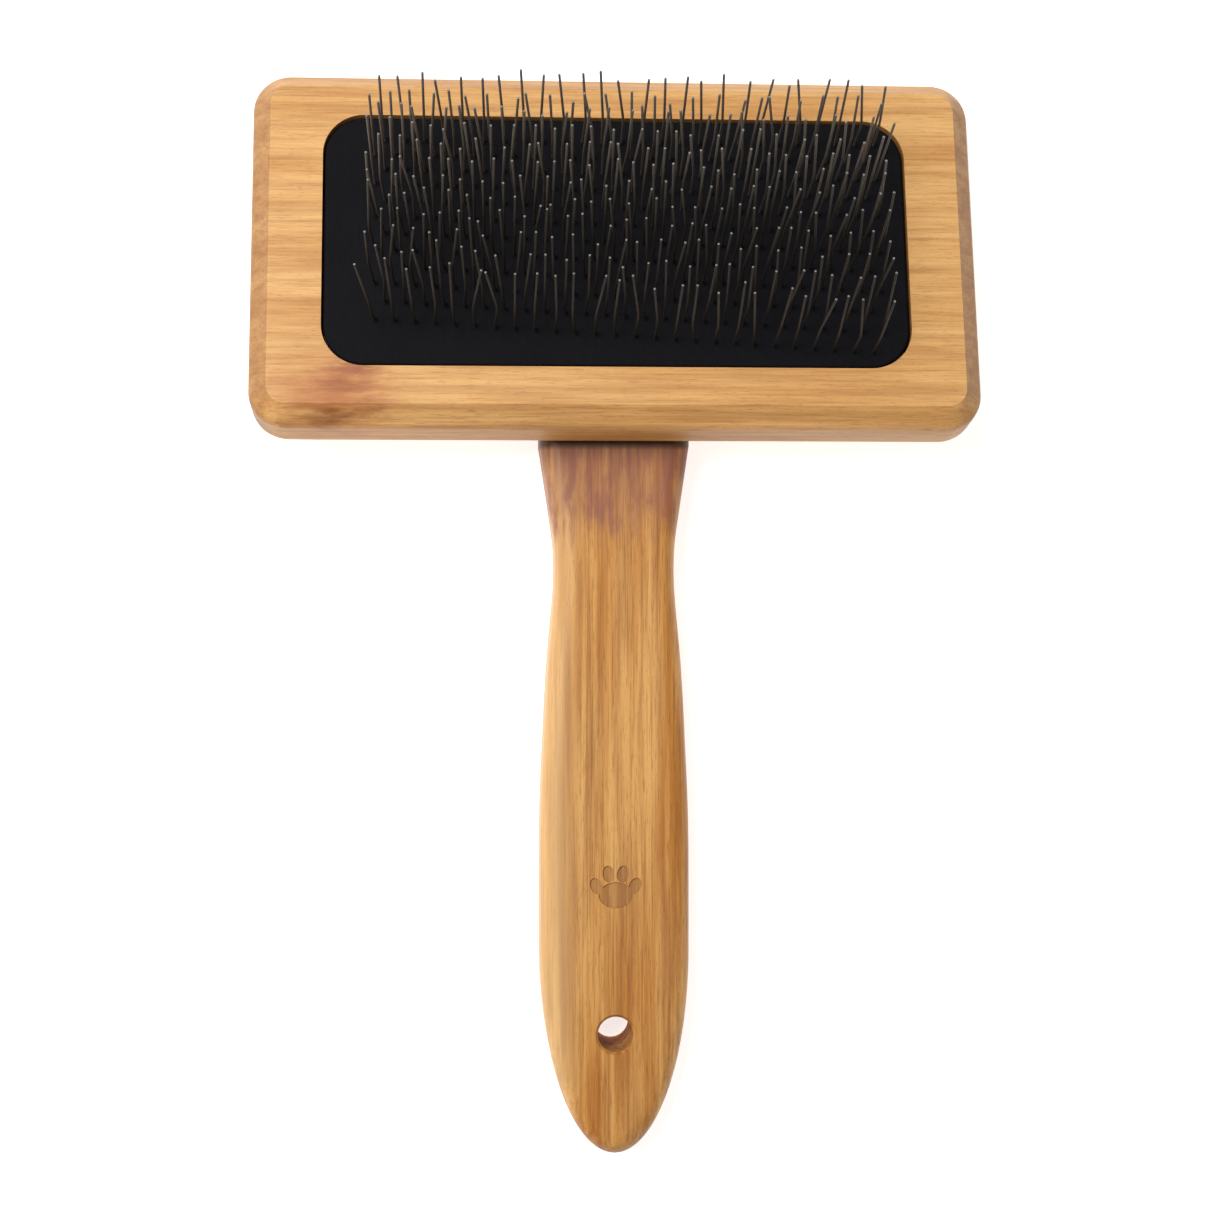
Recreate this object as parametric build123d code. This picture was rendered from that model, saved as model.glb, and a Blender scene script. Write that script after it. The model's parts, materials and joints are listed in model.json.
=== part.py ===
from build123d import *
import os
from math import asin, atan2, degrees, hypot, radians, sin, tan

# Bamboo slicker brush. Units are millimetres, +Z is up, and the brush lies on its back.
# The handle points to -Y and the pin head to +Y. The work is done first in a bench frame,
# where Y = 0 is the line at which the head meets the handle and Z = 0 is the flat back of
# the handle. Everything is then shifted so that the origin is the bottom centre of the
# whole brush.

# ---- handle ----
handle_thickness = 13.0
handle_length = 114.0          # from the head to the far end of the grip
joint_half_width = 12.0        # where the handle leaves the head
neck_half_width = 9.6
neck_distance = 21.5           # from the head
taper_distance = 13.5          # end of the straight taper beside the head
taper_half_width = 10.0
swell_points = ((0.36, 32.0), (0.78, 49.0))  # share of the way from neck to grip, distance
grip_half_width = 12.0
grip_start = 70.0              # the grip is at full width from here ...
grip_end = 81.5                # ... to here, and then closes in half an ellipse
tongue_length = 44.0           # hidden part of the handle, glued under the head
tongue_corner_radius = 6.0
front_edge_radius = 3.0
back_edge_radius = 2.0
hang_hole_radius = 2.85
hang_hole_distance = 94.4
hang_hole_chamfer = 0.4

# ---- pin head, two bamboo plies glued face to face ----
head_width = 115.0
head_height = 58.6
front_ply_thickness = 6.0
back_ply_thickness = 5.6
head_corner_radius = 6.0
bevel_width = 3.0
bevel_depth = 3.1
bevel_foot_radius = 2.0        # between the bevel and the side
head_back_radius = 2.5
window_width = 92.4
window_height = 41.6
window_corner_radius = 6.6
window_offset = 0.6            # the window sits a little nearer the far edge

# ---- pad, from the top down ----
pad_clearance = 0.3            # all round, so that the pad can sink into its pocket
pad_recess = 0.4
rubber_thickness = 1.2
cloth_thickness = 1.2
crown_room = 0.1               # between the staple crowns and the foam
tape_thickness = 0.2

# ---- bent wire pins: U-shaped staples pushed through the pad from behind ----
wire_diameter = 0.4
row_count = 12
row_pitch = 2.95
row_crowding = 0.027           # the rows stand a little closer towards the far edge
nearest_row_slant = 3.6        # degrees; the rows fan out, and the far one is square
staples_per_row = 13
leg_pitch = 3.12
field_offset_x = 1.7
field_offset_y = 1.3
pin_height = 17.8              # above the pad
knee_height = 8.0              # above the pad
lower_lean = 2.0               # degrees from the pad's normal, away from the handle
upper_lean = 13.0
side_lean = -2.0               # degrees, across the head
crown_bend_radius = 0.5
knee_bend_radius = 3.0
lean_variation = 2.0           # degrees, from staple to staple
twist_variation = 4.0          # degrees

# ---- two countersunk wood screws, from the pocket into the tongue ----
screw_length = 11.5
screw_radius = 1.5
screw_head_radius = 2.9
screw_head_depth = 1.5
screw_tip_length = 2.5
screw_positions = (9.0, 23.0)  # from the near edge of the head
screw_slot_length = 3.6
screw_slot_width = 0.8
screw_slot_depth = 0.9
screw_clearance = 0.05

# ---- small generic paw engraved on the grip ----
paw_distance = 72.0
paw_depth = 0.3
paw_palm_radii = (2.7, 2.1)
paw_toe_radii = (0.95, 1.35)
paw_toes = ((-3.1, 1.5, 28.0), (-1.15, 3.4, 9.0), (1.15, 3.4, -9.0), (3.1, 1.5, -28.0))

os.makedirs("parts", exist_ok=True)

head_thickness = front_ply_thickness + back_ply_thickness
# The head leans back until its rounded far edge just touches the surface that the handle
# lies on: reach * sin(tilt) - radius * cos(tilt) = thickness - radius.
head_reach = head_height - head_back_radius
head_tilt = degrees(
    asin((handle_thickness - head_back_radius) / hypot(head_reach, head_back_radius))
    + atan2(head_back_radius, head_reach)
)
head_frame = Location((0, 0, handle_thickness), (-head_tilt, 0, 0))
head_middle = head_height / 2
window_middle = head_middle + window_offset
pad_top = head_thickness - pad_recess
cloth_bottom = pad_top - rubber_thickness - cloth_thickness


def rounded_slab(width, height, corner_radius, bottom, top, middle):
    """A flat plate with round corners, lying across the head."""
    outline = RectangleRounded(width, height, corner_radius)
    return extrude(Pos(0, middle, bottom) * outline, top - bottom)


def edges_at_height(solid, height):
    return solid.edges().filter_by_position(Axis.Z, height - 0.01, height + 0.01)


def make_window(bottom, top, clearance=0.0):
    return rounded_slab(
        window_width - 2 * clearance,
        window_height - 2 * clearance,
        window_corner_radius - clearance,
        bottom,
        top,
        window_middle,
    )


def make_front_ply():
    ply = rounded_slab(
        head_width, head_height, head_corner_radius, back_ply_thickness, head_thickness, head_middle
    )
    ply = chamfer(edges_at_height(ply, head_thickness), bevel_depth, bevel_width)
    ply = fillet(edges_at_height(ply, head_thickness - bevel_depth), bevel_foot_radius)
    return ply - make_window(back_ply_thickness, head_thickness)


def make_back_ply():
    ply = rounded_slab(head_width, head_height, head_corner_radius, 0, back_ply_thickness, head_middle)
    ply = fillet(edges_at_height(ply, 0), head_back_radius)
    for position in screw_positions:
        ply -= Pos(0, position, 0) * make_screw_body(screw_clearance)
    return ply


def make_screw_body(clearance):
    """The screw's outside: a cone for the head, a round shank and a pointed tip."""
    top = back_ply_thickness + clearance
    shank = screw_radius + clearance
    head = screw_head_radius + clearance
    tip = back_ply_thickness - screw_length
    outline = Polyline(
        (0, top),
        (head, top),
        (shank, back_ply_thickness - screw_head_depth),
        (shank, tip + screw_tip_length),
        (0, tip),
        close=True,
    )
    return revolve(Plane.XZ * make_face(outline), Axis.Z)


def make_handle_screws():
    screw = make_screw_body(0)
    slot_middle = back_ply_thickness - screw_slot_depth / 2
    for angle in (0, 90):
        screw -= Pos(0, 0, slot_middle) * Rot(0, 0, angle) * Box(
            screw_slot_length, screw_slot_width, screw_slot_depth
        )
    return [Pos(0, position, 0) * screw for position in screw_positions]


def handle_outline():
    """Right half of the outline seen from the front, from the tongue to the end of the grip."""
    tongue = Line((joint_half_width, tongue_length), (joint_half_width, 0))
    taper = Line(tongue @ 1, (taper_half_width, -taper_distance))
    swell = grip_half_width - neck_half_width
    waist = Spline(
        taper @ 1,
        (neck_half_width, -neck_distance),
        *[(neck_half_width + share * swell, -distance) for share, distance in swell_points],
        (grip_half_width, -grip_start),
        tangents=[taper % 1, (0, -1)],
    )
    grip = Line(waist @ 1, (grip_half_width, -grip_end))
    tip = EllipticalCenterArc(
        (0, -grip_end), grip_half_width, handle_length - grip_end, 270, arc_size=90
    )
    return [tongue, taper, waist, grip, tip]


def make_paw():
    """Outline of the engraved paw, centred on its palm."""
    paw = Sketch() + Ellipse(*paw_palm_radii)
    for x, y, angle in paw_toes:
        paw += Pos(x, y) * Rot(0, 0, angle) * Ellipse(*paw_toe_radii)
    return paw


def make_handle():
    right = handle_outline()
    left = [mirror(edge, Plane.YZ) for edge in right]
    top = Line((-joint_half_width, tongue_length), (joint_half_width, tongue_length))
    blank = extrude(make_face(Curve() + right + left + top), handle_thickness)
    corners = blank.edges().filter_by(Axis.Z).group_by(Axis.Y)[-1]
    blank = fillet(corners, tongue_corner_radius)
    blank = fillet(edges_at_height(blank, handle_thickness), front_edge_radius)
    blank = fillet(edges_at_height(blank, 0), back_edge_radius)
    above_head_back = head_frame * Pos(0, 50, 25) * Box(200, 100, 50)
    blank -= above_head_back
    hole = Pos(0, -hang_hole_distance, handle_thickness / 2) * Cylinder(
        hang_hole_radius, handle_thickness + 2
    )
    blank -= hole
    rims = blank.edges().filter_by(GeomType.CIRCLE)
    rims = rims.filter_by(lambda edge: abs(edge.radius - hang_hole_radius) < 0.01)
    blank = chamfer(rims, hang_hole_chamfer)
    blank -= Pos(0, -paw_distance, handle_thickness - paw_depth) * extrude(make_paw(), 1)
    for position in screw_positions:
        blank -= head_frame * Pos(0, position, 0) * make_screw_body(0)
    return blank


def make_staple():
    """One U-shaped wire, with its crown centred on the origin and its legs pointing up."""
    crown_depth = pad_top - cloth_bottom + wire_diameter / 2
    knee_y = knee_height * tan(radians(lower_lean))
    tip_y = knee_y + (pin_height - knee_height) * tan(radians(upper_lean))
    half = leg_pitch / 2
    leg = [
        (half, 0, 0),
        (half, 0, crown_depth),
        (half, knee_y, crown_depth + knee_height),
        (half, tip_y, crown_depth + pin_height),
    ]
    other_leg = [(-x, y, z) for x, y, z in reversed(leg)]
    bends = [knee_bend_radius, knee_bend_radius, crown_bend_radius]
    path = FilletPolyline(*other_leg, *leg, radius=bends + bends[::-1])
    section = Plane(path @ 0, z_dir=path % 0) * Circle(wire_diameter / 2)
    return sweep(section, path)


def make_staple_row(staple, row):
    """One row of staples. Row 0 is the nearest to the handle."""
    stagger = leg_pitch / 4 if row % 2 else -leg_pitch / 4
    rows_from_middle = row - (row_count - 1) / 2
    row_y = rows_from_middle * row_pitch - rows_from_middle**2 * row_crowding
    row_y += window_middle + field_offset_y
    slant = nearest_row_slant * (1 - row / (row_count - 1))
    z = cloth_bottom - wire_diameter / 2
    staples = []
    for index in range(staples_per_row):
        along_row = stagger + (index - (staples_per_row - 1) / 2) * 2 * leg_pitch
        place = Pos(field_offset_x + along_row, row_y - along_row * tan(radians(slant)), z)
        lean = lean_variation * sin(4.7 * index + 2.9 * row)
        twist = twist_variation * sin(3.1 * index + 5.3 * row)
        staples.append(place * Rot(-lean, side_lean, twist - slant) * staple)
    return staples


def main():
    foam_top = cloth_bottom - wire_diameter - crown_room
    head_parts = {
        "head_front_ply": [make_front_ply()],
        "head_back_ply": [make_back_ply()],
        "handle_screws": make_handle_screws(),
        "foam_tape": [make_window(back_ply_thickness, back_ply_thickness + tape_thickness, 1.0)],
        "foam_cushion": [make_window(back_ply_thickness + tape_thickness, foam_top, 1.0)],
        "pad_cloth": [make_window(cloth_bottom, cloth_bottom + cloth_thickness, pad_clearance)],
        "pad_rubber_face": [make_window(pad_top - rubber_thickness, pad_top, pad_clearance)],
    }
    staple = make_staple()
    for row in range(row_count):
        head_parts[f"pin_row_{row + 1:02d}"] = make_staple_row(staple, row)

    parts = {"handle": [make_handle()]}
    for name, solids in head_parts.items():
        parts[name] = [head_frame * solid for solid in solids]

    box = Compound([solid for solids in parts.values() for solid in solids]).bounding_box()
    to_origin = Pos(-box.center().X, -box.center().Y, -box.min.Z)
    for name, solids in parts.items():
        moved = [to_origin * solid for solid in solids]
        shape = moved[0] if len(moved) == 1 else Compound(children=moved)
        shape.label = name
        export_step(shape, f"parts/{name}.step")

    print("head tilt, degrees:", round(head_tilt, 3))
    print("shift of the bench frame:", [round(v, 4) for v in to_origin.position])
    print("overall size:", [round(v, 3) for v in box.size])


main()
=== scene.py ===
"""Looks of the bamboo slicker brush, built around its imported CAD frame.

Lengths are in millimetres in the named values and in metres in the scene.
"""

import math
import random

import bpy
import numpy as np
from mathutils import Matrix, Vector
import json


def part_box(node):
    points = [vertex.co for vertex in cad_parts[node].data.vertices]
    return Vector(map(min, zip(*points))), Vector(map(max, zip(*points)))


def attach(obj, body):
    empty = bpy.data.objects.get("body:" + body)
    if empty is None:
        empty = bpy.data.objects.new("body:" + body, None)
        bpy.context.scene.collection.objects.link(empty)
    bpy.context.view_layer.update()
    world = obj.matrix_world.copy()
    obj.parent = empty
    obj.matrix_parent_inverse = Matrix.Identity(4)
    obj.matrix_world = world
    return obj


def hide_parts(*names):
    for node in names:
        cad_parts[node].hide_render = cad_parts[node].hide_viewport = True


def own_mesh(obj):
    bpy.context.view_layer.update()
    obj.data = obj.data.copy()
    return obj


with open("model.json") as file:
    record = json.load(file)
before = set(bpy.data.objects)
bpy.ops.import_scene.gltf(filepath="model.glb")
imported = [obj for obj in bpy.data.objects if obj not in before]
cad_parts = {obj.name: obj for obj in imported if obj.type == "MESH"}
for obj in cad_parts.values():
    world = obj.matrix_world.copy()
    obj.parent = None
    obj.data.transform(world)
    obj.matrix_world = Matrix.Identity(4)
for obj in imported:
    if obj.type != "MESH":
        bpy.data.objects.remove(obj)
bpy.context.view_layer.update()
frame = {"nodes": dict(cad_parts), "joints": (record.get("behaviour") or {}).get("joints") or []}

MM = 0.001

# ---- where things are, from the frame ----
press_joint = frame["joints"][0]
head_normal = Vector(press_joint["axis"]).normalized()
head_across = Vector((1.0, 0.0, 0.0))
head_along = head_normal.cross(head_across)
head_axes = Matrix((head_across, head_along, head_normal)).transposed()
head_tilt = math.asin(head_normal.y)


def head_points(node):
    """A CAD node's vertices in the head's own axes: across, along and out of the pad."""
    mesh = frame["nodes"][node].data
    points = np.empty(len(mesh.vertices) * 3)
    mesh.vertices.foreach_get("co", points)
    return points.reshape(-1, 3) @ np.array(head_axes)


def head_box(node):
    points = head_points(node)
    return Vector(points.min(0)), Vector(points.max(0))


front_low, front_high = head_box("head_front_ply")
rubber_low, rubber_high = head_box("pad_rubber_face")
cloth_low, _ = head_box("pad_cloth")
foam_low, foam_high = head_box("foam_cushion")
handle_low, handle_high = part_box("handle")
joint_line_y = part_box("head_back_ply")[0].y      # where the handle leaves the head
pin_rows = sorted(name for name in frame["nodes"] if name.startswith("pin_row_"))


# ---- meshes ----
def add_piece(name, vertices, faces, material, axes=None):
    """A mesh object from points in metres, in the head's axes or in the row frame."""
    mesh = bpy.data.meshes.new(name)
    if axes is not None:
        vertices = [axes @ Vector(point) for point in vertices]
    mesh.from_pydata([tuple(point) for point in vertices], [], faces)
    mesh.materials.append(material)
    mesh.shade_smooth()
    piece = bpy.data.objects.new(name, mesh)
    bpy.context.scene.collection.objects.link(piece)
    return piece


def round_rectangle(low, high, inset, radius, steps):
    """Points round a rectangle with round corners, lying inside low and high by inset."""
    radius = max(radius - inset, 0.2 * MM)
    points = []
    corners = ((1, 1, 0.0), (-1, 1, 90.0), (-1, -1, 180.0), (1, -1, 270.0))
    for sign_x, sign_y, start in corners:
        x = (high.x if sign_x > 0 else low.x) - sign_x * (inset + radius)
        y = (high.y if sign_y > 0 else low.y) - sign_y * (inset + radius)
        for step in range(steps + 1):
            angle = math.radians(start + 90.0 * step / steps)
            points.append((x + radius * math.cos(angle), y + radius * math.sin(angle)))
    return points


def stacked_plate(low, high, radius, levels, steps=14):
    """Vertices and faces of a closed plate. Levels are (inset, height) from the bottom up."""
    vertices = []
    faces = []
    for inset, height in levels:
        for x, y in round_rectangle(low, high, inset, radius, steps):
            vertices.append((x, y, height))
    count = 4 * (steps + 1)
    for level in range(len(levels) - 1):
        for index in range(count):
            following = (index + 1) % count
            base = level * count
            faces.append(
                (base + index, base + following, base + count + following, base + count + index)
            )
    faces.append(tuple(reversed(range(count))))
    faces.append(tuple(range(len(vertices) - count, len(vertices))))
    return vertices, faces


def rounded_levels(low, high, radius, steps=5):
    """Levels of a plate whose top and bottom edges are rounded by radius."""
    levels = []
    for step in range(steps + 1):
        angle = math.radians(90.0 * step / steps)
        levels.append((radius * (1 - math.sin(angle)), low + radius * (1 - math.cos(angle))))
    levels += [(inset, high - (height - low)) for inset, height in reversed(levels)]
    return [(levels[0][0] + 0.3 * MM, low)] + levels + [(levels[-1][0] + 0.3 * MM, high)]


# ---- materials ----
SOCKET_NAMES = {
    "base_color": "Base Color",
    "roughness": "Roughness",
    "metallic": "Metallic",
    "coat_weight": "Coat Weight",
    "coat_roughness": "Coat Roughness",
    "sheen_weight": "Sheen Weight",
    "specular_ior_level": "Specular IOR Level",
    "emission_color": "Emission Color",
    "emission_strength": "Emission Strength",
}


class Shader:
    """A material's node tree, with short ways to add and join nodes."""

    def __init__(self, name):
        self.material = bpy.data.materials.new(name)
        self.material.use_nodes = True
        self.tree = self.material.node_tree
        self.surface = self.tree.nodes["Principled BSDF"]

    def node(self, kind, **settings):
        made = self.tree.nodes.new("ShaderNode" + kind)
        for key, value in settings.items():
            setattr(made, key, value)
        return made

    def join(self, source, target):
        self.tree.links.new(source, target)

    def put(self, target, value):
        """Sets a socket to a value, or joins it to another socket."""
        if isinstance(value, bpy.types.NodeSocket):
            self.join(value, target)
        else:
            target.default_value = value

    def maths(self, operation, *values):
        made = self.node("Math", operation=operation)
        for socket, value in zip(made.inputs, values):
            self.put(socket, value)
        return made.outputs[0]

    def mix(self, share, first, second, blend="MIX"):
        made = self.node("Mix", data_type="RGBA", blend_type=blend)
        self.put(made.inputs["Factor"], share)
        self.put(made.inputs["A"], first)
        self.put(made.inputs["B"], second)
        return made.outputs["Result"]

    def step(self, value, low, high):
        """0 below low, 1 above high, and a soft rise between them."""
        made = self.node("MapRange", interpolation_type="SMOOTHSTEP")
        self.put(made.inputs["Value"], value)
        made.inputs["From Min"].default_value = low
        made.inputs["From Max"].default_value = high
        return made.outputs["Result"]

    def places(self, rotation=(0.0, 0.0, 0.0)):
        """Object coordinates in millimetres, after a turn."""
        made = self.node("Mapping")
        made.inputs["Rotation"].default_value = rotation
        made.inputs["Scale"].default_value = (1 / MM, 1 / MM, 1 / MM)
        self.join(self.node("TexCoord").outputs["Object"], made.inputs["Vector"])
        return made.outputs["Vector"]

    def noise(self, place, lengths, detail=2.0, roughness=0.5, offset=0.0):
        """Noise with features of about these lengths, in millimetres, along each axis."""
        made = self.node("Mapping")
        made.inputs["Scale"].default_value = tuple(1 / length for length in lengths)
        made.inputs["Location"].default_value = (offset, offset, offset)
        self.join(place, made.inputs["Vector"])
        texture = self.node("TexNoise")
        texture.inputs["Scale"].default_value = 1.0
        texture.inputs["Detail"].default_value = detail
        texture.inputs["Roughness"].default_value = roughness
        self.join(made.outputs["Vector"], texture.inputs["Vector"])
        return texture.outputs["Fac"]

    def bump(self, height, strength, distance):
        made = self.node("Bump")
        made.inputs["Strength"].default_value = strength
        made.inputs["Distance"].default_value = distance
        self.join(height, made.inputs["Height"])
        self.join(made.outputs["Normal"], self.surface.inputs["Normal"])

    def grey(self, value):
        made = self.node("CombineColor")
        for socket in made.inputs:
            self.put(socket, value)
        return made.outputs["Color"]

    def vector(self, operation, first, second):
        made = self.node("VectorMath", operation=operation)
        self.put(made.inputs[0], first)
        self.put(made.inputs[1], second)
        return made.outputs["Vector"]

    def length(self, vector):
        made = self.node("VectorMath", operation="LENGTH")
        self.join(vector, made.inputs[0])
        return made.outputs["Value"]

    def separate(self, vector, axis="X"):
        made = self.node("SeparateXYZ")
        self.join(vector, made.inputs[0])
        return made.outputs[axis]

    def object_normal(self):
        return self.node("TexCoord").outputs["Normal"]

    def height(self):
        """Height above the floor, in millimetres."""
        return self.separate(self.places(), "Z")

    def wave(self, place, axis, period):
        """Parallel ridges across an axis, one each period, in millimetres."""
        made = self.node("TexWave", wave_type="BANDS", bands_direction=axis)
        made.inputs["Scale"].default_value = math.pi / (10 * period)
        self.join(place, made.inputs["Vector"])
        return made.outputs["Fac"]

    def set(self, **values):
        for key, value in values.items():
            self.put(self.surface.inputs[SOCKET_NAMES[key]], value)


def srgb(red, green, blue):
    """A colour given as 0 to 255 in sRGB, as linear values."""
    linear = []
    for level in (red, green, blue):
        share = level / 255
        linear.append(share / 12.92 if share <= 0.04045 else ((share + 0.055) / 1.055) ** 2.4)
    return (*linear, 1.0)


def bamboo(name, turn, light, middle, dark, streak_length, streak_share):
    """Satin bamboo whose X axis, after the turn, runs along the grain."""
    shader = Shader(name)
    place = shader.places(turn)
    tone = shader.noise(place, (55.0, 4.5, 6.0), detail=1.5)
    wide = shader.noise(place, (streak_length, 1.5, 1.8), detail=2.5, roughness=0.6, offset=13.0)
    narrow = shader.noise(place, (0.6 * streak_length, 0.45, 0.6), detail=2.0, offset=31.0)
    fibres = shader.noise(place, (14.0, 0.13, 0.17), detail=3.0, roughness=0.65, offset=7.0)
    dashes = shader.noise(place, (4.2, 0.2, 0.3), detail=1.0, offset=53.0)
    pores = shader.noise(place, (1.4, 0.12, 0.15), detail=1.0, offset=71.0)
    colour = shader.mix(shader.step(tone, 0.3, 0.7), middle, light)
    wide_share = shader.maths("MULTIPLY", shader.step(wide, 0.38, 0.74), streak_share)
    colour = shader.mix(wide_share, colour, dark)
    pale_share = shader.maths("MULTIPLY", shader.step(wide, 0.5, 0.24), 0.6)
    colour = shader.mix(pale_share, colour, light)
    narrow_share = shader.maths("MULTIPLY", shader.step(narrow, 0.48, 0.72), 0.7 * streak_share)
    colour = shader.mix(narrow_share, colour, dark)
    fibre_shade = shader.maths("MULTIPLY_ADD", fibres, 0.62, 0.69)
    colour = shader.mix(0.75, colour, shader.grey(fibre_shade), "MULTIPLY")
    dash = shader.maths("MULTIPLY", shader.step(dashes, 0.57, 0.7), 0.42)
    colour = shader.mix(dash, colour, dark)
    pore = shader.maths("MULTIPLY", shader.step(pores, 0.62, 0.74), 0.4)
    colour = shader.mix(pore, colour, srgb(122, 76, 38))
    relief = shader.maths("SUBTRACT", fibres, shader.maths("MULTIPLY", dash, 1.2))
    shader.bump(relief, 0.3, 0.05 * MM)
    rough = shader.maths("MULTIPLY_ADD", fibres, 0.22, 0.4)
    shader.set(roughness=rough, specular_ior_level=0.4, coat_weight=0.06, coat_roughness=0.35)
    return shader, place, colour, rough


def painted_side_shade(shader, colour, axis, shade):
    """The colour, with painted shade darkening the surfaces that face along an axis."""
    across = shader.maths("ABSOLUTE", shader.separate(shader.object_normal(), axis))
    share = shader.step(across, 0.35, 0.8)
    return shader.mix(share, colour, shader.mix(1.0, colour, shade, "MULTIPLY"))


def stained(shader, place, colour, centre, radii, stain, share):
    """The colour with a ragged soft-edged stain, as where a bamboo node was."""
    ragged = shader.noise(place, (4.0, 0.9, 1.2), detail=3.0, roughness=0.65, offset=91.0)
    offset = shader.vector("SUBTRACT", place, tuple(centre))
    scaled = shader.vector("DIVIDE", offset, radii)
    distance = shader.length(scaled)
    edge = shader.maths("ADD", distance, shader.maths("MULTIPLY_ADD", ragged, 1.2, -0.6))
    mask = shader.maths("MULTIPLY", shader.step(edge, 1.3, 0.0), share)
    return shader.mix(mask, colour, stain)


# Stains of the bamboo node at the head's near left corner: the centre as a distance from the
# left end, the near side and the front face, then radii along and across the grain and in
# depth, colour and strength.
HEAD_STAINS = (
    ((13.5, 5.0, 1.0), (11.5, 7.0, 9.0), (184, 110, 58), 0.9),
    ((16.5, 8.6, 0.5), (4.6, 1.6, 5.0), (146, 72, 48), 0.75),
    ((15.0, 5.8, 1.0), (5.4, 1.5, 5.0), (150, 80, 44), 0.7),
    ((13.0, 2.0, 3.0), (5.0, 2.0, 3.0), (110, 58, 24), 0.85),
    ((19.0, 2.6, 3.0), (4.2, 1.7, 3.0), (132, 74, 34), 0.7),
)


def head_bamboo():
    shader, place, colour, _ = bamboo(
        "bamboo_head",
        (head_tilt, 0.0, 0.0),
        srgb(236, 184, 116),
        srgb(216, 158, 90),
        srgb(174, 114, 58),
        30.0,
        0.5,
    )
    corner = Vector((front_low.x, front_low.y, front_high.z)) / MM
    for distances, radii, stain, share in HEAD_STAINS:
        centre = corner + Vector((distances[0], distances[1], -distances[2]))
        colour = stained(shader, place, colour, centre, radii, srgb(*stain), share)
    # Painted shade on the bevels and sides of the head that face across and along it.
    colour = painted_side_shade(shader, colour, "X", (0.64, 0.58, 0.52, 1.0))
    colour = painted_side_shade(shader, colour, "Y", (0.88, 0.84, 0.78, 1.0))
    shader.set(base_color=colour)
    return shader.material


# On the handle, in millimetres: across its width, from its end, and the hole's radius.
PALE_STRIP_FROM = 4.5
PALE_STRIP_TO = 10.0
HOLE_FROM_END = 19.6
HOLE_RADIUS = 2.85
PAW_FROM_END = 42.0
PAW_REACH = 8.0


def handle_bamboo():
    shader, place, colour, rough = bamboo(
        "bamboo_handle",
        (0.0, 0.0, math.radians(-90.0)),
        srgb(228, 172, 98),
        srgb(202, 136, 58),
        srgb(150, 82, 26),
        36.0,
        0.66,
    )
    joint_y = joint_line_y / MM
    end_y = handle_low.y / MM
    face_z = handle_high.z / MM
    along = shader.separate(place, "X")
    # A paler strip runs down the left edge.
    across = shader.separate(place, "Y")
    strip = shader.maths("MULTIPLY", shader.step(across, PALE_STRIP_FROM, PALE_STRIP_TO), 0.5)
    colour = shader.mix(strip, colour, srgb(238, 196, 138))
    # The mauve zone of a bamboo node, where the handle meets the head.
    patches = shader.noise(place, (7.0, 2.2, 3.0), detail=3.0, roughness=0.6, offset=37.0)
    streaks = shader.noise(place, (30.0, 0.8, 1.5), detail=2.0, offset=43.0)
    wander = shader.maths("MULTIPLY_ADD", streaks, 11.0, -5.5)
    blots = shader.maths("MULTIPLY_ADD", patches, 9.0, -4.5)
    edge = shader.maths("ADD", shader.maths("ADD", along, wander), blots)
    zone = shader.step(edge, joint_y - 17.5, joint_y - 10.5)
    patchy = shader.maths("MULTIPLY_ADD", shader.step(patches, 0.36, 0.62), 0.4, 0.42)
    zone = shader.maths("MULTIPLY", zone, patchy)
    colour = shader.mix(zone, colour, srgb(146, 88, 72))
    fine = shader.maths("MULTIPLY_ADD", shader.step(streaks, 0.4, 0.62), 0.4, 0.3)
    deep = shader.maths("MULTIPLY", shader.step(along, joint_y - 10.0, joint_y - 1.5), fine)
    colour = shader.mix(deep, colour, srgb(128, 74, 52))
    # Narrow dark line right at the joint, a painted shadow under the head's edge, which ends again
    # under the head.
    before = shader.step(along, joint_y - 1.5, joint_y - 0.5)
    after = shader.step(along, joint_y + 1.6, joint_y + 0.4)
    line = shader.maths("MULTIPLY", shader.maths("MULTIPLY", before, after), 0.85)
    colour = shader.mix(line, colour, srgb(64, 38, 20))
    # Slightly darker floor of the engraved paw.
    depth = shader.height()
    sunk = shader.step(depth, face_z - 0.02, face_z - 0.12)
    paw_middle = Vector((end_y + PAW_FROM_END, 0.0, face_z))
    near_paw = shader.length(shader.vector("SUBTRACT", place, tuple(paw_middle)))
    paw_floor = shader.maths("MULTIPLY", sunk, shader.step(near_paw, PAW_REACH + 0.2, PAW_REACH - 0.2))
    colour = shader.mix(shader.maths("MULTIPLY", paw_floor, 0.36), colour, srgb(112, 62, 34))
    flat = shader.vector("MULTIPLY", place, (1.0, 1.0, 0.0))
    hole_middle = (end_y + HOLE_FROM_END, 0.0, 0.0)
    from_hole = shader.length(shader.vector("SUBTRACT", flat, hole_middle))
    wall = shader.step(from_hole, HOLE_RADIUS + 0.2, HOLE_RADIUS + 0.02)
    # Painted shade on the surfaces of the handle that face along it.
    colour = painted_side_shade(shader, colour, "Y", (0.84, 0.8, 0.76, 1.0))
    # The wall of the hole is rougher than the faces.
    rough = shader.maths("MAXIMUM", rough, shader.maths("MULTIPLY", wall, 0.95))
    shader.set(base_color=colour, roughness=rough)
    return shader.material


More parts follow.
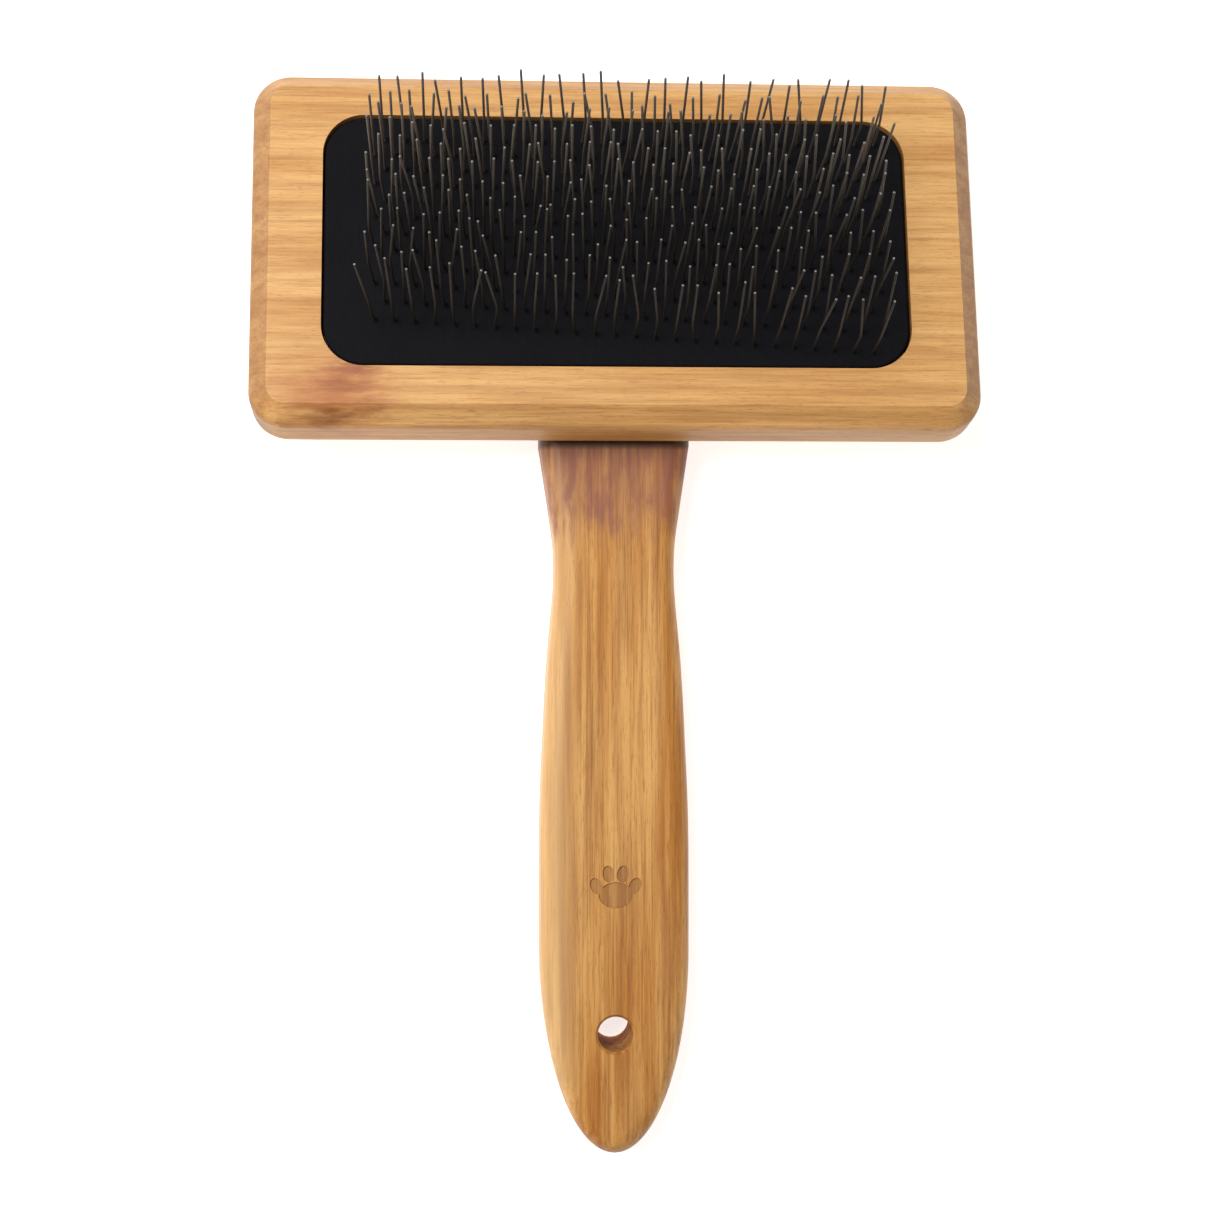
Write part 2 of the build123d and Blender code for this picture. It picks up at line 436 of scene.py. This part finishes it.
def pad_rubber():
    shader = Shader("black_rubber")
    place = shader.places((head_tilt, 0.0, 0.0))
    mottle = shader.noise(place, (9.0, 9.0, 9.0), detail=3.0)
    grain = shader.noise(place, (0.35, 0.35, 0.35), detail=2.0, offset=5.0)
    weave = shader.noise(place, (0.7, 6.0, 2.0), detail=1.0, offset=17.0)
    colour = shader.mix(mottle, srgb(10, 10, 12), srgb(19, 19, 23))
    colour = shader.mix(shader.maths("MULTIPLY", weave, 0.4), colour, srgb(24, 23, 26))
    rough = shader.maths("MULTIPLY_ADD", grain, 0.2, 0.7)
    shader.bump(grain, 0.25, 0.05 * MM)
    shader.set(base_color=colour, roughness=rough, specular_ior_level=0.12)
    return shader.material


# The wires are painted darker from here towards the handle, in the head's axes. This painted shade
# matches how little of them shows in the near rows, and is a tone chosen rather than a known finish.
PAINTED_SHADE_UP_TO = rubber_high.y / MM - 9.0
PAINTED_SHADE_FADE = 15.0


def pin_steel(name, low, high, rough, painted_shade_share):
    """Drawn wire with fine lengthwise variation, with painted shade darkening the rows near the
    handle.
    """
    shader = Shader(name)
    place = shader.places((head_tilt, 0.0, 0.0))
    drawn = shader.noise(place, (0.3, 0.3, 4.0), detail=2.0)
    batch = shader.noise(place, (5.0, 5.0, 30.0), detail=1.0, offset=23.0)
    colour = shader.mix(drawn, low, high)
    uneven = shader.maths("MULTIPLY_ADD", batch, 0.8, 0.6)
    colour = shader.mix(0.5, colour, shader.grey(uneven), "MULTIPLY")
    # Painted shade: the wires turn darker towards the handle.
    along = shader.separate(place, "Y")
    darker = shader.step(along, PAINTED_SHADE_UP_TO, PAINTED_SHADE_UP_TO - PAINTED_SHADE_FADE)
    darker = shader.maths("MULTIPLY", darker, painted_shade_share)
    colour = shader.mix(darker, colour, srgb(26, 24, 23))
    rough_now = shader.maths("MULTIPLY_ADD", drawn, 0.16, rough)
    shader.set(base_color=colour, roughness=rough_now, metallic=0.45, specular_ior_level=0.2)
    return shader.material


def woven_cloth():
    shader = Shader("woven_cotton")
    place = shader.places((head_tilt, 0.0, 0.0))
    warp = shader.wave(place, "X", 0.45)
    weft = shader.wave(place, "Y", 0.45)
    threads = shader.maths("MAXIMUM", warp, weft)
    fuzz = shader.noise(place, (0.5, 0.5, 0.5), detail=3.0)
    colour = shader.mix(threads, srgb(150, 138, 112), srgb(206, 196, 170))
    colour = shader.mix(0.4, colour, shader.grey(fuzz), "MULTIPLY")
    shader.bump(threads, 0.5, 0.08 * MM)
    shader.set(base_color=colour, roughness=0.9, sheen_weight=0.25)
    return shader.material


def open_foam():
    shader = Shader("open_foam")
    place = shader.places((head_tilt, 0.0, 0.0))
    cells = shader.node("TexVoronoi", feature="F1")
    cells.inputs["Scale"].default_value = 1.6
    shader.join(place, cells.inputs["Vector"])
    holes = shader.step(cells.outputs["Distance"], 0.1, 0.5)
    colour = shader.mix(holes, srgb(34, 34, 36), srgb(84, 84, 86))
    shader.bump(holes, 0.6, 0.2 * MM)
    shader.set(base_color=colour, roughness=0.95)
    return shader.material


def adhesive_tape():
    shader = Shader("adhesive_tape")
    place = shader.places((head_tilt, 0.0, 0.0))
    ripple = shader.noise(place, (3.0, 12.0, 3.0), detail=2.0)
    colour = shader.mix(ripple, srgb(214, 204, 176), srgb(236, 230, 210))
    shader.bump(ripple, 0.2, 0.05 * MM)
    shader.set(base_color=colour, roughness=0.45)
    return shader.material


def zinc_screw():
    shader = Shader("zinc_steel")
    place = shader.places((head_tilt, 0.0, 0.0))
    turned = shader.noise(place, (1.5, 1.5, 0.12), detail=2.0)
    colour = shader.mix(turned, srgb(168, 166, 160), srgb(206, 204, 196))
    rough = shader.maths("MULTIPLY_ADD", turned, 0.25, 0.22)
    shader.set(base_color=colour, roughness=rough, metallic=1.0)
    return shader.material


def paint(node, material):
    """Gives a CAD node its own material."""
    mesh = frame["nodes"][node].data
    mesh.materials.clear()
    mesh.materials.append(material)


head_wood = head_bamboo()
paint("head_front_ply", head_wood)
paint("head_back_ply", head_wood)
paint("handle", handle_bamboo())
paint("handle_screws", zinc_screw())
paint("foam_tape", adhesive_tape())
paint("pad_cloth", woven_cloth())

# ---- rubber face of the pad ----
PAD_CORNER = 6.3
PAD_EDGE_ROUNDING = 0.45
PLATE_SHARP_ANGLE = math.radians(40)
rubber_material = pad_rubber()
rubber_plate = stacked_plate(
    rubber_low,
    rubber_high,
    PAD_CORNER * MM,
    rounded_levels(rubber_low.z, rubber_high.z, PAD_EDGE_ROUNDING * MM),
)
rubber = add_piece("rubber_face", *rubber_plate, rubber_material, head_axes)
rubber.data.set_sharp_from_angle(angle=PLATE_SHARP_ANGLE)
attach(rubber, "pin_pad")
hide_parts("pad_rubber_face")

# ---- foam cushion under the pad ----
FOAM_CORNER = 5.6
FOAM_EDGE_ROUNDING = 0.5
foam_plate = stacked_plate(
    foam_low,
    foam_high,
    FOAM_CORNER * MM,
    rounded_levels(foam_low.z, foam_high.z, FOAM_EDGE_ROUNDING * MM),
)
foam = add_piece("foam_block", *foam_plate, open_foam(), head_axes)
foam.data.set_sharp_from_angle(angle=PLATE_SHARP_ANGLE)
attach(foam, "brush_body")
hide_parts("foam_cushion")
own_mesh(foam)

# ---- bent wire pins ----
WIRE_DIAMETER = 0.4
PIN_HEIGHT = 17.6              # above the pad
KNEE_HEIGHT = 7.6
LOWER_LEAN = 2.0               # degrees from the pad's normal, away from the handle
UPPER_LEAN = 13.0
SIDE_LEAN = -2.0
WIRE_SIDES = 8
LEGS_PER_ROW = 26
END_REACH = 0.4                # the rounded cut ends, as shares of the wire's radius
END_SIZE = 0.62
# How far single wires stray, as standard deviations in degrees and then in millimetres.
KNEE_LEAN_STRAY = 1.6
KNEE_SIDE_STRAY = 1.8
TIP_LEAN_STRAY = 2.4
TIP_SIDE_STRAY = 3.6
KNEE_RISE_STRAY = 0.35
TIP_RISE_STRAY = 0.25
# Bend radii along a staple: knee, pad surface and crown, then the same in reverse.
BEND_RADII = (1.4, 0.6, 0.45, 0.45, 0.6, 1.4)
WIRE_SHARP_ANGLE = math.radians(50)


def crown_line(node):
    """The two ends of the line along which a row's legs stand."""
    points = head_points(node)
    crowns = points[points[:, 2] < cloth_low.z]
    half_wire = WIRE_DIAMETER * MM / 2
    left = crowns[:, 0].min()
    right = crowns[:, 0].max()
    left_y = crowns[crowns[:, 0] < left + MM, 1].mean()
    right_y = crowns[crowns[:, 0] > right - MM, 1].mean()
    return Vector((left + half_wire, left_y)), Vector((right - half_wire, right_y))


def tube(path, radius, vertices, faces, tip_faces):
    """Adds a closed wire along the path, with its cut ends slightly rounded."""
    start = len(vertices)
    path = [path[0] + (path[0] - path[1]).normalized() * radius * END_REACH] + path
    path = path + [path[-1] + (path[-1] - path[-2]).normalized() * radius * END_REACH]
    sizes = [END_SIZE] + [1.0] * (len(path) - 2) + [END_SIZE]
    direction = (path[1] - path[0]).normalized()
    side = direction.cross(head_across).normalized()
    for index, point in enumerate(path):
        before = path[max(index - 1, 0)]
        after = path[min(index + 1, len(path) - 1)]
        following = (after - before).normalized()
        side = direction.rotation_difference(following) @ side
        direction = following
        other = direction.cross(side)
        for step in range(WIRE_SIDES):
            angle = 2 * math.pi * step / WIRE_SIDES
            offset = side * math.cos(angle) + other * math.sin(angle)
            vertices.append(point + offset * radius * sizes[index])
    for ring in range(len(path) - 1):
        for step in range(WIRE_SIDES):
            following = (step + 1) % WIRE_SIDES
            base = start + ring * WIRE_SIDES
            quad = (base + step, base + following)
            faces.append((*quad, base + WIRE_SIDES + following, base + WIRE_SIDES + step))
            if ring in (0, len(path) - 2):
                tip_faces.append(len(faces) - 1)
    faces.append(tuple(reversed(range(start, start + WIRE_SIDES))))
    tip_faces.append(len(faces) - 1)
    faces.append(tuple(range(len(vertices) - WIRE_SIDES, len(vertices))))
    tip_faces.append(len(faces) - 1)


def rounded_path(points, radii, steps=4):
    """A path through straight runs whose corners are rounded, as a list of points."""
    path = [points[0]]
    for index in range(1, len(points) - 1):
        corner = points[index]
        back = points[index - 1] - corner
        ahead = points[index + 1] - corner
        reach = min(radii[index - 1], 0.45 * back.length, 0.45 * ahead.length)
        first = corner + back.normalized() * reach
        last = corner + ahead.normalized() * reach
        for step in range(steps + 1):
            t = step / steps
            path.append(first.lerp(corner, t).lerp(corner.lerp(last, t), t))
    path.append(points[-1])
    return path


def leg_points(x, y, crown_z, chance):
    """Crown end, pad surface, knee and tip of one pin, with its own small errors."""
    pad_z = rubber_high.z
    knee_lean = math.radians(LOWER_LEAN + chance.gauss(0, KNEE_LEAN_STRAY))
    knee_side = math.radians(SIDE_LEAN + chance.gauss(0, KNEE_SIDE_STRAY))
    tip_lean = math.radians(UPPER_LEAN + chance.gauss(0, TIP_LEAN_STRAY))
    tip_side = math.radians(SIDE_LEAN + chance.gauss(0, TIP_SIDE_STRAY))
    knee_rise = (KNEE_HEIGHT + chance.gauss(0, KNEE_RISE_STRAY)) * MM
    tip_rise = (PIN_HEIGHT - KNEE_HEIGHT - abs(chance.gauss(0, TIP_RISE_STRAY))) * MM
    crown = Vector((x, y, crown_z))
    leaves = Vector((x, y, pad_z))
    knee = leaves + Vector((math.tan(knee_side), math.tan(knee_lean), 1.0)) * knee_rise
    tip = knee + Vector((math.tan(tip_side), math.tan(tip_lean), 1.0)) * tip_rise
    return [crown, leaves, knee, tip]


wire_material = pin_steel("pin_wire", srgb(96, 87, 78), srgb(130, 120, 110), 0.45, 0.75)
tip_material = pin_steel("pin_tip", srgb(120, 118, 116), srgb(168, 166, 164), 0.5, 0.1)
pin_exits = []
chance = random.Random(5)
for row_index, node in enumerate(pin_rows):
    left, right = crown_line(node)
    crown_z = cloth_low.z - WIRE_DIAMETER * MM / 2
    vertices, faces, tip_faces = [], [], []
    for staple in range(LEGS_PER_ROW // 2):
        near_place = left.lerp(right, 2 * staple / (LEGS_PER_ROW - 1))
        far_place = left.lerp(right, (2 * staple + 1) / (LEGS_PER_ROW - 1))
        near_leg = leg_points(near_place.x, near_place.y, crown_z, chance)
        far_leg = leg_points(far_place.x, far_place.y, crown_z, chance)
        pin_exits += [near_leg[1], far_leg[1]]
        points = near_leg[::-1] + far_leg
        radii = [radius * MM for radius in BEND_RADII]
        path = rounded_path(points, radii)
        tube(path, WIRE_DIAMETER * MM / 2, vertices, faces, tip_faces)
    wires = add_piece(f"wire_row_{row_index + 1:02d}", vertices, faces, wire_material, head_axes)
    wires.data.materials.append(tip_material)
    for index in tip_faces:
        wires.data.polygons[index].material_index = 1
    wires.data.set_sharp_from_angle(angle=WIRE_SHARP_ANGLE)
    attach(wires, "pin_pad")
    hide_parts(node)

# ---- small puckers where each wire leaves the rubber ----
PUCKER_SIDES = 10
# Rings of a pucker from outside in, as radius and height in millimetres.
PUCKER_RINGS = ((0.62, -0.02), (0.5, 0.05), (0.36, 0.13), (0.25, 0.16), (0.2, 0.1))
vertices, faces = [], []
for place in pin_exits:
    start = len(vertices)
    for radius, height in PUCKER_RINGS:
        for step in range(PUCKER_SIDES):
            angle = 2 * math.pi * step / PUCKER_SIDES
            offset = Vector((math.cos(angle) * radius, math.sin(angle) * radius, height)) * MM
            vertices.append(Vector((place.x, place.y, rubber_high.z)) + offset)
    for ring in range(len(PUCKER_RINGS) - 1):
        for step in range(PUCKER_SIDES):
            following = (step + 1) % PUCKER_SIDES
            base = start + ring * PUCKER_SIDES
            quad = (base + step, base + following)
            faces.append((*quad, base + PUCKER_SIDES + following, base + PUCKER_SIDES + step))
    faces.append(tuple(reversed(range(start, start + PUCKER_SIDES))))
    faces.append(tuple(range(len(vertices) - PUCKER_SIDES, len(vertices))))
puckers = add_piece("rubber_puckers", vertices, faces, rubber_material, head_axes)
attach(puckers, "pin_pad")

# ---- floor, light and camera ----
WORLD_BRIGHTNESS = 0.3
FLOOR_GLOW_NEAR = 250.0        # bright up to here from the middle, in millimetres
FLOOR_GLOW_FAR = 4000.0        # nearly dark from here on
FLOOR_GLOW = 0.7
FLOOR_GLOW_LEFT = 0.04
FLOOR_RADIUS = 8.0
FLOOR_SIDES = 64
floor_material = Shader("floor_white")
# Glowing near the object and fading with distance.
from_middle = floor_material.length(floor_material.places())
glow = floor_material.step(from_middle, FLOOR_GLOW_FAR, FLOOR_GLOW_NEAR)
glow = floor_material.maths("MULTIPLY_ADD", glow, FLOOR_GLOW, FLOOR_GLOW_LEFT)
floor_material.set(
    base_color=(0.85, 0.85, 0.85, 1.0),
    roughness=0.8,
    emission_color=(1.0, 1.0, 1.0, 1.0),
    emission_strength=glow,
)
rim = []
for step in range(FLOOR_SIDES):
    angle = 2 * math.pi * step / FLOOR_SIDES
    rim.append((FLOOR_RADIUS * math.cos(angle), FLOOR_RADIUS * math.sin(angle), 0.0))
floor = add_piece("studio_floor", rim, [tuple(range(FLOOR_SIDES))], floor_material.material)

world = bpy.data.worlds.new("studio")
bpy.context.scene.world = world
world.use_nodes = True
world.node_tree.nodes["Background"].inputs["Color"].default_value = (1.0, 1.0, 1.0, 1.0)
world.node_tree.nodes["Background"].inputs["Strength"].default_value = WORLD_BRIGHTNESS


def add_light(name, place, target, size, power):
    lamp = bpy.data.lights.new(name, "AREA")
    lamp.shape = "DISK"
    lamp.size = size
    lamp.energy = power
    made = bpy.data.objects.new(name, lamp)
    made.location = place
    made.rotation_euler = (Vector(target) - Vector(place)).to_track_quat("-Z", "Y").to_euler()
    bpy.context.scene.collection.objects.link(made)


KEY_PLACE = (-0.28, 0.22, 0.6)
KEY_TARGET = (0.0, 0.03, 0.0)
KEY_SIZE = 0.4
KEY_POWER = 4.1
add_light("key_light", KEY_PLACE, KEY_TARGET, KEY_SIZE, KEY_POWER)

# The camera looks almost straight down. Its small turns are in radians.
CAMERA_SENSOR = 36.0
CAMERA_LENS = 65.15885
CAMERA_CLIP_START = 0.01
camera_place = Vector((-24.4, 6.176, 365.8)) * MM
pitch, yaw, roll = 0.0149, 0.0674, 0.0003
turn = (
    Matrix.Rotation(pitch, 3, "X") @ Matrix.Rotation(yaw, 3, "Y") @ Matrix.Rotation(roll, 3, "Z")
)
camera_data = bpy.data.cameras.new("camera")
camera_data.sensor_width = CAMERA_SENSOR
camera_data.lens = CAMERA_LENS
camera_data.clip_start = CAMERA_CLIP_START
camera = bpy.data.objects.new("camera", camera_data)
camera.matrix_world = Matrix.Translation(camera_place) @ turn.transposed().to_4x4()
bpy.context.scene.collection.objects.link(camera)
bpy.context.scene.camera = camera
bpy.context.scene.view_settings.view_transform = "Standard"
